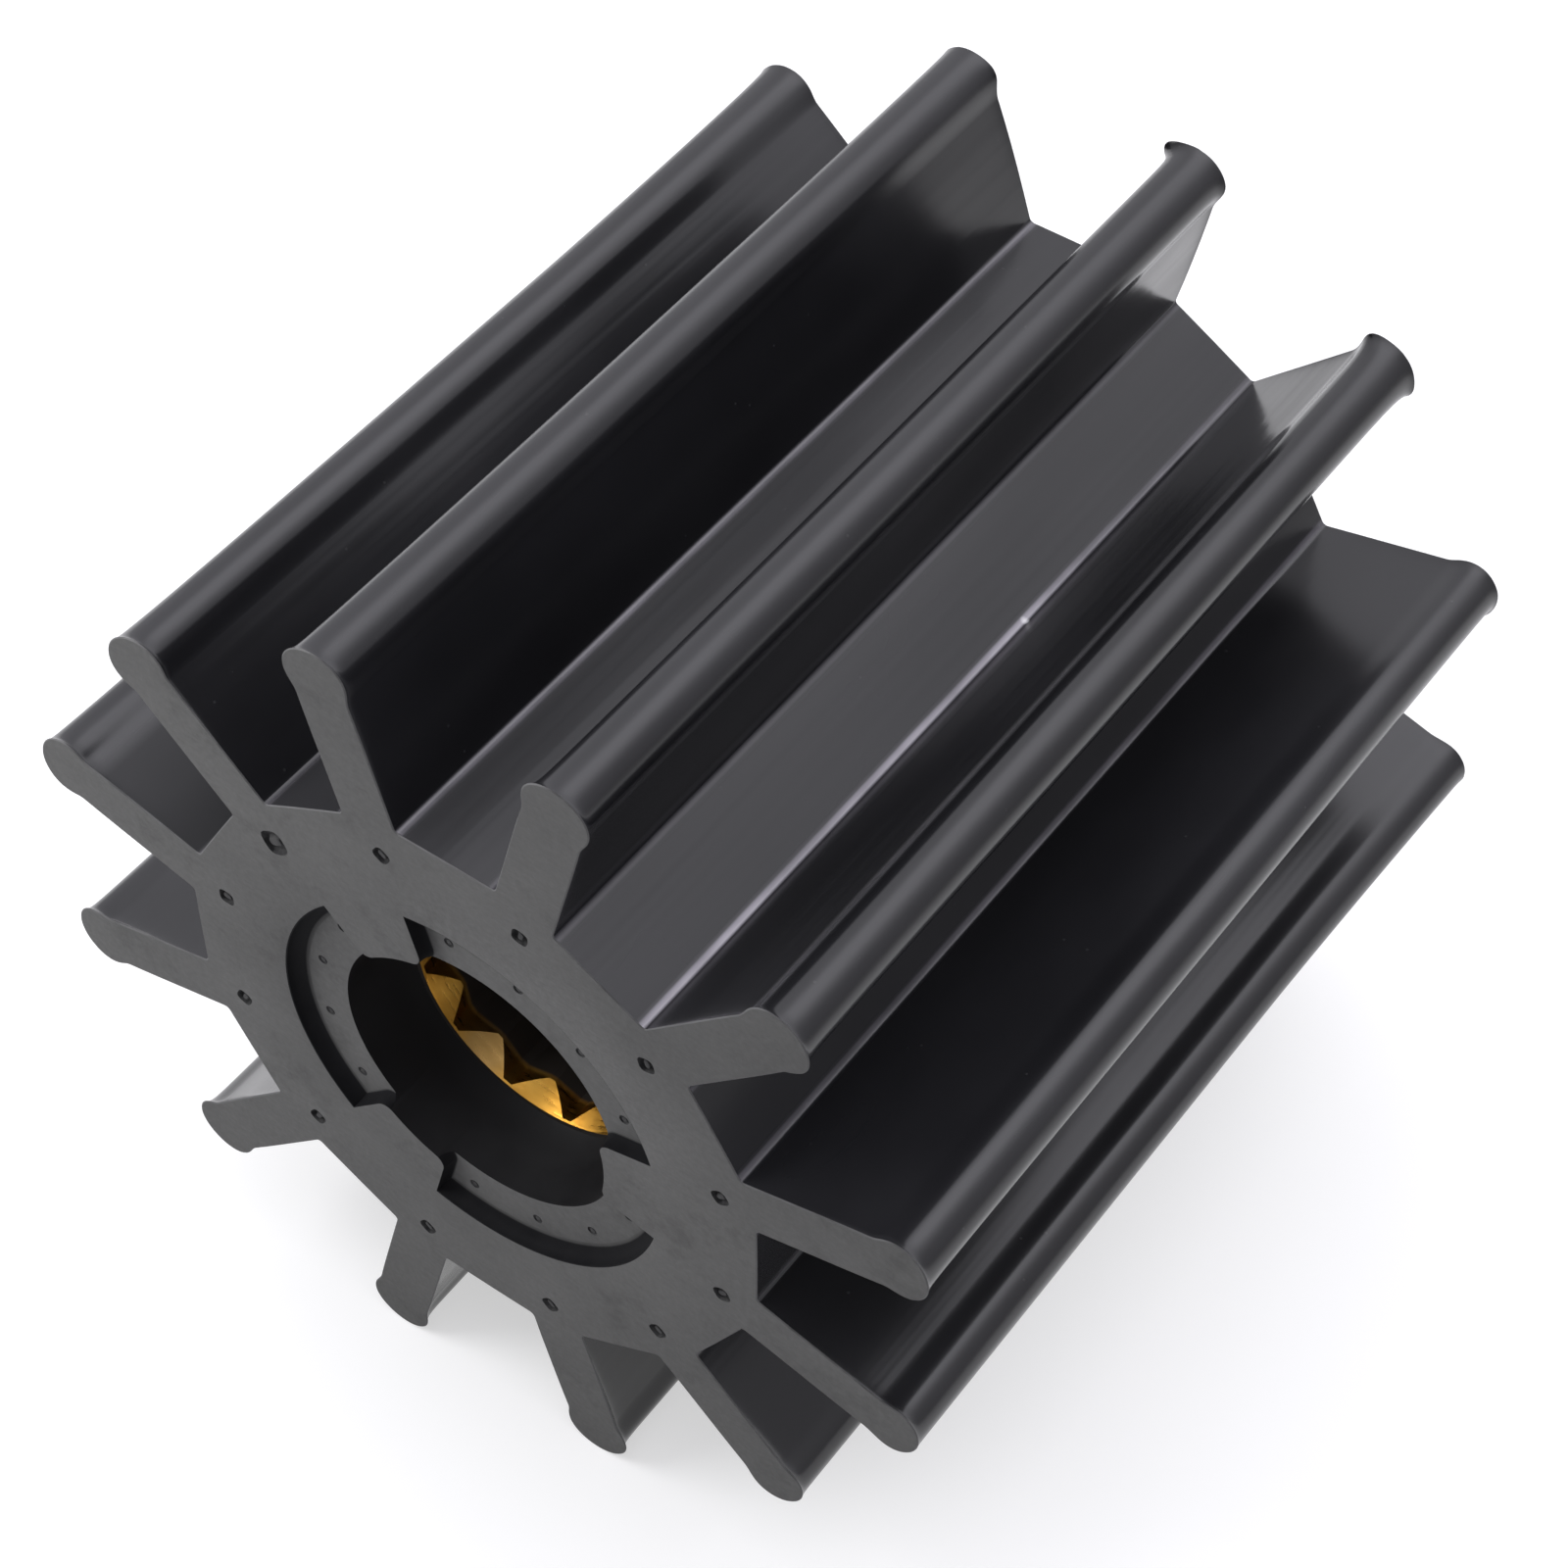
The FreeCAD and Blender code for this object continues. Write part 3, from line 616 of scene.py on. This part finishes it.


# %% [markdown]
# The skin copies a polished steel mould, so it is nearly black and reflects the room almost
# sharply. What keeps it from looking like lacquer is small: flow lines along the blades, slow
# waves of the soft surface, a patchy film of mould release, a few specks of dust, a painted
# highlight in the roots, whose amount comes from the mesh's own attribute, and one painted glint.


# %% Moulded rubber skin
SKIN_TONES = (0.0085, 0.0085, 0.0095), (0.017, 0.017, 0.019)
DUST_TONE = (0.035, 0.035, 0.036)
# The pale root tone is a painted highlight, and the paler spot at one place a painted glint.
ROOT_HIGHLIGHT_TONE = (0.60, 0.57, 0.63)
GLINT_TONE = (0.85, 0.84, 0.86)
GLINT_PLACE = (0.01908, 0.0081, 0.0236)
DULL_ROUGHNESS = 0.6


def moulded_skin():
    """Near black with a patchy sheen, specks of dust, a painted highlight in the roots and one painted
    glint.
    """
    material, tree, shader = new_material("moulded_rubber_skin")
    film = noise(tree, 45, (1, 0.5, 1), detail=4)
    tone = blend(tree, map_range(tree, film, 0.0, 1.0), *SKIN_TONES)
    speck = add_node(tree, "ShaderNodeTexVoronoi", Scale=300.0)
    tree.links.new(object_place(tree), speck.inputs["Vector"])
    dust = map_range(tree, speck.outputs["Distance"], 0.8, 0.0, 0.02, 0.05)
    dusty = blend(tree, dust, tone, DUST_TONE)
    broken = map_range(tree, noise(tree, 300, (1, 0.3, 1), detail=3), 0.40, 1.0)
    # The pale root line, broken by noise, is a painted highlight.
    line = combine(tree, "MULTIPLY", amount(tree, "root_highlight"), broken)
    with_root_highlight = blend(tree, line, dusty, ROOT_HIGHLIGHT_TONE)
    # A painted glint: one pale spot where the root line is brightest.
    glint_spot = map_range(tree, distance_from(tree, GLINT_PLACE), 1.0, 0.0, 0.12 * MM, 0.45 * MM)
    tree.links.new(blend(tree, glint_spot, with_root_highlight, GLINT_TONE), shader.inputs["Base Color"])
    dull = map_range(tree, amount(tree, "dull_flank"), 0.0, DULL_ROUGHNESS, 0.0, 1.0)
    rough = combine(tree, "MAXIMUM", map_range(tree, film, 0.17, 0.26), dull)
    tree.links.new(rough, shader.inputs["Roughness"])
    flow = bump(tree, noise(tree, 110, (4, 0.08, 4), detail=2), 0.22, 0.00015)
    wave = noise(tree, 45, (1, 0.4, 1), detail=1)
    tree.links.new(bump(tree, wave, 1.0, 0.0013, flow), shader.inputs["Normal"])
    shader.inputs["IOR"].default_value = 1.5
    return material


# %% [markdown]
# The ends were cut and ground on a wheel. That leaves a grey, dull, finely mottled face with
# darker clouds and faint parallel scratches, and a paler line where the wheel ran off the edge.
# Noises of four scales give the clouds, scratches, smudges and grain.


# %% Ground end faces and their edges
def ground_face():
    """Grey clouds, scratches one way and smudges, with a fine dull grain."""
    material, tree, shader = new_material("ground_rubber_face")
    cloud = noise(tree, 55, detail=5, roughness=0.6)
    tone = blend(tree, map_range(tree, cloud, 0.0, 1.0, 0.25, 0.75), (0.079, 0.079, 0.077),
                 (0.122, 0.122, 0.118))
    scratch = noise(tree, 260, (1.0, 1.0, 14.0), detail=2)
    scratched = blend(tree, map_range(tree, scratch, 0.0, 0.22), tone, (0.073, 0.073, 0.071))
    smudge = map_range(tree, noise(tree, 190, detail=4, roughness=0.65), 0.0, 0.5, 0.56, 0.72)
    smudged = blend(tree, smudge, scratched, (0.049, 0.049, 0.047))
    tree.links.new(smudged, shader.inputs["Base Color"])
    grain = noise(tree, 1600, detail=3, roughness=0.7)
    tree.links.new(map_range(tree, grain, 0.62, 0.80), shader.inputs["Roughness"])
    tree.links.new(bump(tree, grain, 0.22, 0.0002), shader.inputs["Normal"])
    shader.inputs["IOR"].default_value = 1.45
    return material


def burnished_edge():
    """A paler line with nicks in it."""
    material, tree, shader = new_material("burnished_edge")
    nick = noise(tree, 420, detail=3)
    tone = blend(tree, map_range(tree, nick, 0.0, 1.0), (0.05, 0.05, 0.05), (0.12, 0.12, 0.12))
    tree.links.new(tone, shader.inputs["Base Color"])
    tree.links.new(map_range(tree, nick, 0.45, 0.7), shader.inputs["Roughness"])
    tree.links.new(bump(tree, nick, 0.2, 0.0001), shader.inputs["Normal"])
    return material


# %% [markdown]
# The bore was never ground. It is black rubber under a film of grease, which dulls it and
# swallows the reflections of the brass, so its shine is turned down on the shader's own socket.


# %% Greasy bore
def bore_wall():
    """Nearly black, patchy, with little shine."""
    material, tree, shader = new_material("greasy_bore_wall")
    film = noise(tree, 120, detail=3)
    tone = blend(tree, map_range(tree, film, 0.0, 1.0), (0.007, 0.007, 0.008), (0.013, 0.013, 0.014))
    tree.links.new(tone, shader.inputs["Base Color"])
    tree.links.new(map_range(tree, film, 0.5, 0.7), shader.inputs["Roughness"])
    tree.links.new(bump(tree, noise(tree, 900), 0.15, 0.0001), shader.inputs["Normal"])
    shader.inputs["Specular IOR Level"].default_value = 0.25
    return material


# %% [markdown]
# A recess wall was moulded, not ground. It is dull and nearly black: the moulded rubber's own
# colour, which here also stands in as painted shade in the recess, and it takes on the grey of
# the ground floor only at its very foot. The depth below the face, which is Object Y, drives the
# change.

# %% Recess walls
FOOT_HEIGHT = 0.07


def recess_wall():
    """Dull black above as painted shade, blending to the ground grey just above the floor."""
    material, tree, shader = new_material("dull_recess_wall_painted_shade")
    foot_start = (floor_level - FOOT_HEIGHT) * MM
    foot = map_range(tree, along_axis(tree, "Y"), 0.0, 1.0, foot_start, floor_level * MM)
    wall_noise = noise(tree, 260, detail=4)
    patchy = map_range(tree, wall_noise, 0.0, 1.0)
    grey = blend(tree, patchy, (0.085, 0.085, 0.083), (0.130, 0.130, 0.126))
    # Painted shade: the wall is kept black, darker than the grey floor, down to its very foot.
    shade_black = blend(tree, patchy, (0.008, 0.008, 0.009), (0.016, 0.016, 0.017))
    tree.links.new(blend(tree, foot, shade_black, grey), shader.inputs["Base Color"])
    tree.links.new(map_range(tree, wall_noise, 0.6, 0.8), shader.inputs["Roughness"])
    tree.links.new(bump(tree, noise(tree, 900), 0.2, 0.0001), shader.inputs["Normal"])
    shader.inputs["Specular IOR Level"].default_value = 0.05
    return material


# %% [markdown]
# Where the sprues were torn off, the rubber is neither moulded nor ground. Its surface is all
# crumbs, grey on the tops, which is the torn rubber's own colour, and black in the hollows of the
# bump, which is painted shade; only a very fine noise looks like that.


# %% Torn rubber in the marks
def torn_rubber():
    """Grey crumbs with painted shade in their hollows, and no shine."""
    material, tree, shader = new_material("torn_rubber")
    crumb = noise(tree, 1400, detail=3)
    # The same noise makes the bump, so its hollows are painted black as shade.
    crumb_shade = map_range(tree, crumb, 0.0, 1.0, 0.4, 0.65)
    tone = blend(tree, crumb_shade, (0.006, 0.006, 0.007), (0.055, 0.055, 0.054))
    tree.links.new(tone, shader.inputs["Base Color"])
    tree.links.new(map_range(tree, crumb, 0.6, 0.9), shader.inputs["Roughness"])
    tree.links.new(bump(tree, crumb, 0.4, 0.0002), shader.inputs["Normal"])
    return material


# %% [markdown]
# Each patch of the moulding carries the number of its finish, so the finishes go into the
# piece's material slots in the order of those numbers.

# %% The rubber wears its finishes
for finish in (moulded_skin, ground_face, burnished_edge, bore_wall, recess_wall, torn_rubber):
    moulding.data.materials.append(finish())
print("rubber finishes:", [m.name for m in moulding.data.materials])

# %% [markdown]
# The insert is turned from brass bar and its teeth are broached. The imported solid already has
# the teeth, the lead-in cone and the ring, so it stays and only gets its metal. Only the front
# of the teeth is golden, one of them stained: the end face outside the cone and the bore
# behind the teeth are dark brown and not metallic at all.


# %% Machined brass
GOLD_TONES = (0.48, 0.215, 0.025), (0.68, 0.38, 0.07)
STAIN_TONE = (0.50, 0.325, 0.12)
DARK_BROWN_TONE = (0.020, 0.0155, 0.012)
DARK_ROUGHNESS = 0.7
STAINED_TOOTH = (-0.0067, -0.0349, -0.0102)
DARK_LINE = INSERT_END - 2.9, INSERT_END - 2.3
CONE_EDGE = 12.86, 12.92


def machined_brass():
    """Stained gold on the front of the teeth, dark brown behind them and outside the cone."""
    material, tree, shader = new_material("machined_brass")
    stain = noise(tree, 170, detail=4)
    gold = blend(tree, map_range(tree, stain, 0.0, 1.0), *GOLD_TONES)
    spot = map_range(tree, distance_from(tree, STAINED_TOOTH), 0.75, 0.0, 1.6 * MM, 3.4 * MM)
    tooth = blend(tree, spot, gold, STAIN_TONE)
    from_middle = tree.nodes.new("ShaderNodeMath")
    from_middle.operation = "ABSOLUTE"
    tree.links.new(along_axis(tree, "Y"), from_middle.inputs[0])
    front = map_range(tree, from_middle.outputs["Value"], 0.0, 1.0, *(v * MM for v in DARK_LINE))
    radius = distance_from_axis(tree, (1, 0, 1))
    inner = map_range(tree, radius, 1.0, 0.0, *(v * MM for v in CONE_EDGE))
    # Golden where both shares are 1; dark brown and not metallic behind the teeth and outside the cone.
    golden_share = combine(tree, "MULTIPLY", front, inner)
    tree.links.new(blend(tree, golden_share, DARK_BROWN_TONE, tooth), shader.inputs["Base Color"])
    tree.links.new(golden_share, shader.inputs["Metallic"])
    turning = noise(tree, 500, (1, 6, 1), detail=3)
    dark_rough = map_range(tree, golden_share, DARK_ROUGHNESS, 0.0, 0.0, 1.0)
    rough = combine(tree, "MAXIMUM", map_range(tree, turning, 0.24, 0.40), dark_rough)
    tree.links.new(rough, shader.inputs["Roughness"])
    tree.links.new(bump(tree, turning, 0.15, 0.0001), shader.inputs["Normal"])
    return material


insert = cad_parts["splined_brass_insert"]
brass = machined_brass()
if insert.data.materials:
    insert.material_slots[0].material = brass
else:
    insert.data.materials.append(brass)
print("insert material:", insert.material_slots[0].material.name)

# %% [markdown]
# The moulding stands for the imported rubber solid, which is hidden and stays for collision. The
# part has no joints, so the moulding rides on the one body that there is.

# %% The moulding takes its place
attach(moulding, "root")
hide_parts("rubber_impeller")
print(moulding.name, "replaces the packed rubber_impeller")

# %% [markdown]
# The stage is a pale floor under the two blade tips that the impeller lies on. It is only
# mid-bright for the light that falls on it, so that it doesn't wash out the dark undersides,
# and glows a little for the camera and for reflections, so that it shows as clean white. Its
# glow fades under the part as a painted shadow, and far out on the right, well outside the
# picture, its colour and glow are painted darker, to less than half, as painted shade where the
# light falls off. Each fade is a range of distance and what it falls to.

# %% The floor
FLOOR_SIZE = 3.0
FLOOR_TONE = (0.50, 0.50, 0.50)
FLOOR_GLOW = 0.55
# The two fades below are painted: shade far out to the right, and a shadow under the part.
PAINTED_FALLOFF = 0.14, 0.40, 0.42
PAINTED_CONTACT_SHADOW = 0.01, 0.035, 0.2
floor_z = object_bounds()[0][2]
corner = FLOOR_SIZE / 2
floor_mesh = bpy.data.meshes.new("floor")
floor_mesh.from_pydata([(-corner, -corner, floor_z), (corner, -corner, floor_z),
                        (corner, corner, floor_z), (-corner, corner, floor_z)], [], [(0, 1, 2, 3)])
floor = bpy.data.objects.new("floor", floor_mesh)
bpy.context.scene.collection.objects.link(floor)
floor_material, floor_tree, floor_shader = new_material("pale_floor")
floor_shader.inputs["Roughness"].default_value = 0.9
path = floor_tree.nodes.new("ShaderNodeLightPath")
rays = [path.outputs[ray] for ray in ("Is Camera Ray", "Is Glossy Ray", "Is Transmission Ray")]
seen = combine(floor_tree, "MAXIMUM", *rays)
# Painted shade: the floor's colour and glow fall off towards the right, standing in for light that
# falls off.
painted_falloff = map_range(floor_tree, along_axis(floor_tree, "X"), 1.0, PAINTED_FALLOFF[2], *PAINTED_FALLOFF[:2])
reach = distance_from_axis(floor_tree, (1, 1, 0))
# Painted shadow: the glow fades under the part, standing in for its contact shadow.
painted_shadow = map_range(floor_tree, reach, PAINTED_CONTACT_SHADOW[2], 1.0, *PAINTED_CONTACT_SHADOW[:2])
glowing = map_range(floor_tree, seen, 0.0, FLOOR_GLOW, 0.0, 1.0)
floor_tone = blend(floor_tree, painted_falloff, (0.0, 0.0, 0.0), FLOOR_TONE)
floor_tree.links.new(floor_tone, floor_shader.inputs["Base Color"])
glow = add_node(floor_tree, "ShaderNodeEmission", Color=(1, 1, 1, 1))
floor_tree.links.new(combine(floor_tree, "MULTIPLY", glowing, painted_falloff, painted_shadow), glow.inputs["Strength"])
total = floor_tree.nodes.new("ShaderNodeAddShader")
floor_tree.links.new(floor_shader.outputs["BSDF"], total.inputs[0])
floor_tree.links.new(glow.outputs["Emission"], total.inputs[1])
floor_tree.links.new(total.outputs["Shader"], floor_tree.nodes["Material Output"].inputs["Surface"])
floor_mesh.materials.append(floor_material)
print("floor at %.2f mm" % (floor_z / MM))

# %% [markdown]
# Glossy black rubber shows little colour of its own: what is seen on it is the room. Here the
# room is a light tent, brightest over the top, darker towards both sides, and open, and so
# darker still, on the camera's side. The world gives this as soft gradients that are
# multiplied, because a lamp with edges would draw hard stripes on every bead. The first
# gradient holds shares of one level, by which the second is multiplied.

# %% The light tent
TENT_LEVEL = 2.8
TENT_TINT = (0.99, 0.98, 1.05, 1)
OPEN_FRONT = 0.10
world = bpy.data.worlds.new("light_tent")
bpy.context.scene.world = world
world.use_nodes = True
tent = world.node_tree
direction = tent.nodes.new("ShaderNodeTexCoord").outputs["Generated"]
by_height = tent.nodes.new("ShaderNodeValToRGB")
by_height.color_ramp.interpolation = "B_SPLINE"
stops = [(0.0, 0.9), (0.4, 0.95), (0.5, 1.2), (0.6, 1.45), (0.7, 1.65), (0.8, 1.85), (0.87, 2.1),
         (0.93, 2.9), (1.0, 2.4)]
while len(by_height.color_ramp.elements) < len(stops):
    by_height.color_ramp.elements.new(0.5)
for element, (place, radiance) in zip(by_height.color_ramp.elements, stops):
    element.position = place
    element.color = (*[radiance / TENT_LEVEL] * 3, 1)
height = map_range(tent, along_axis(tent, "Z", direction), 0.0, 1.0, -1.0, 1.0)
tent.links.new(height, by_height.inputs["Fac"])
depth = along_axis(tent, "Y", direction)
front_share = map_range(tent, depth, OPEN_FRONT * TENT_LEVEL, TENT_LEVEL, -0.80, 0.20)
dim_right = add_node(tent, "ShaderNodeMapRange", From_Min=0.15, From_Max=0.80, To_Min=1.0, To_Max=0.42)
dim_left = add_node(tent, "ShaderNodeMapRange", From_Min=-0.42, From_Max=-0.05, To_Min=0.62, To_Max=1.0)
for node in (dim_right, dim_left):
    node.interpolation_type = "SMOOTHSTEP"
    tent.links.new(along_axis(tent, "X", direction), node.inputs["Value"])
glow_of_tent = combine(tent, "MULTIPLY", by_height.outputs["Color"], front_share,
                       dim_right.outputs["Result"], dim_left.outputs["Result"])
background = tent.nodes["Background"]
background.inputs["Color"].default_value = TENT_TINT
tent.links.new(glow_of_tent, background.inputs["Strength"])
print("tent of", len(stops), "heights, brightest", max(radiance for place, radiance in stops))

# %% [markdown]
# The ground face isn't evenly lit: it is paler towards the upper left. Only a lamp that stands
# near can do that, so one soft box hangs in front of it on that side.


# %% The near soft box
def soft_box(name, place, size, radiance):
    """A square area lamp that faces the origin. Its power is radiance times pi times its area."""
    lamp = bpy.data.lights.new(name, "AREA")
    lamp.shape = "SQUARE"
    lamp.size = size
    lamp.color = (0.99, 0.99, 1.0)
    lamp.energy = radiance * math.pi * size * size
    box = bpy.data.objects.new(name, lamp)
    box.location = place
    box.rotation_euler = (-Vector(place)).to_track_quat("-Z", "Y").to_euler()
    box.visible_camera = False
    bpy.context.scene.collection.objects.link(box)
    return box


near_box = soft_box("front_left_box", (-0.14, -0.12, 0.10), 0.10, 7.0)
print("soft box of %.2f W" % near_box.data.energy)

# %% [markdown]
# The camera's place comes from the photograph: the twelve blade tips and the moulding marks
# were matched to their places in the picture, which fixes distance, height and lens together.

# %% The camera
AZIMUTH = math.radians(35.81)
ELEVATION = math.radians(49.22)
ROLL = math.radians(0.23)
CAMERA_PLACE = Vector((0.12644, -0.17534, 0.24757))
SENSOR_WIDTH = 36.0
FOCAL_PIXELS = 3722.5
PHOTO_PIXELS = 1600
forward = Vector((-math.sin(AZIMUTH) * math.cos(ELEVATION), math.cos(AZIMUTH) * math.cos(ELEVATION),
                  -math.sin(ELEVATION)))
right = Vector((math.cos(AZIMUTH), math.sin(AZIMUTH), 0))
up = right.cross(forward)
basis = Matrix((right, up, -forward)).transposed()
lens = bpy.data.cameras.new("photo_camera")
lens.sensor_width = SENSOR_WIDTH
lens.lens = FOCAL_PIXELS / PHOTO_PIXELS * lens.sensor_width
lens.clip_start = 0.01
camera = bpy.data.objects.new("photo_camera", lens)
facing = (basis @ Matrix.Rotation(ROLL, 3, "Z")).to_4x4()
camera.matrix_world = Matrix.Translation(CAMERA_PLACE) @ facing
bpy.context.scene.collection.objects.link(camera)
bpy.context.scene.camera = camera
bpy.context.scene.view_settings.view_transform = "Standard"
print("lens %.1f mm" % lens.lens)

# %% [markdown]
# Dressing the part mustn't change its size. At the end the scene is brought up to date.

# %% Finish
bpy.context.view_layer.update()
